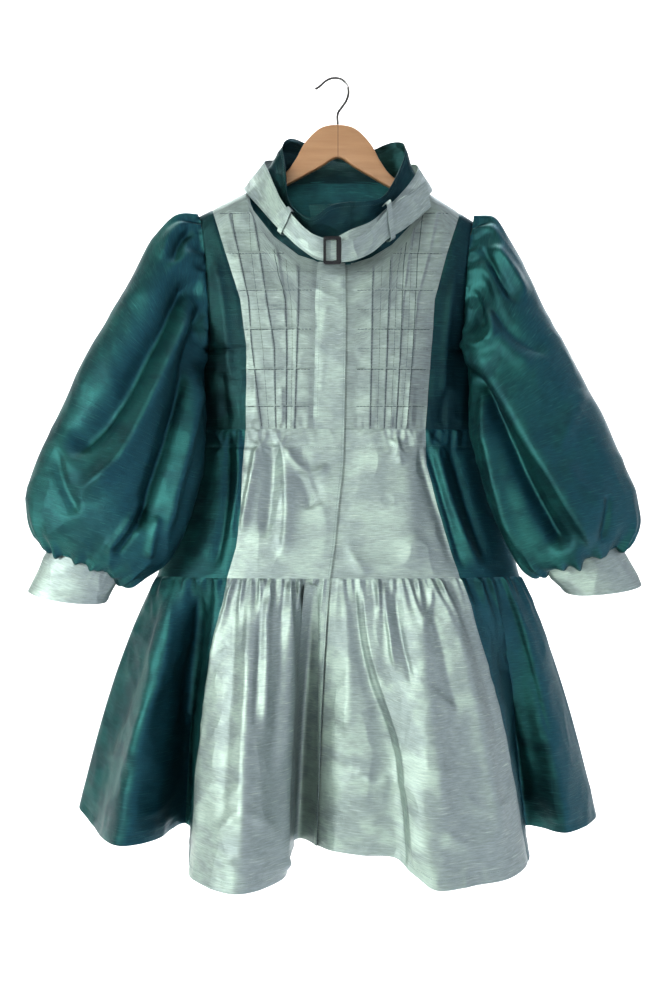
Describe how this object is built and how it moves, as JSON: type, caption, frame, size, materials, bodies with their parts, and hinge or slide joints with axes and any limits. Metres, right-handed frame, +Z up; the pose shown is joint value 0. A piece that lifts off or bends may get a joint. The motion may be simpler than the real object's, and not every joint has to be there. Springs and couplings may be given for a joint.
{
  "type": "coat dress on hanger",
  "caption": "Knee-length coat dress with a funnel collar, buckled neck strap, tucked yoke, balloon sleeves and gathered tier, on a wooden hanger.",
  "frame": {"origin": "inner top of the hanger's hook, where a rail carries it", "axes": "+Z up, +X to the right as seen from the front, the front of the dress faces -Y"},
  "size_m": [0.7755, 0.2699, 1.0249],
  "materials": {
    "teal_taffeta": "shot taffeta with a soft sheen",
    "silver_taffeta": "shot taffeta with a soft sheen",
    "hanger_wood": "satin lacquer",
    "hook_wire": "polished",
    "buckle": "gloss"
  },
  "bodies": {
    "root": {"side_front_left": "teal_taffeta", "side_front_right": "teal_taffeta", "back_bodice": "teal_taffeta", "skirt_side_left": "teal_taffeta", "skirt_side_right": "teal_taffeta", "skirt_back": "teal_taffeta", "tier_side_left": "teal_taffeta", "tier_side_right": "teal_taffeta", "tier_back": "teal_taffeta", "sleeve_left": "teal_taffeta", "sleeve_right": "teal_taffeta", "collar": "teal_taffeta", "yoke_left": "silver_taffeta", "yoke_right": "silver_taffeta", "placket_band": "silver_taffeta", "skirt_front_left": "silver_taffeta", "skirt_front_right": "silver_taffeta", "tier_front_left": "silver_taffeta", "tier_front_right": "silver_taffeta", "cuff_left": "silver_taffeta", "cuff_right": "silver_taffeta", "neck_strap": "silver_taffeta", "strap_tail": "silver_taffeta", "loop_left": "silver_taffeta", "loop_right": "silver_taffeta", "buckle": "buckle", "hanger_wood": "hanger_wood", "hanger_hook": "hook_wire"}
  },
  "joints": []
}
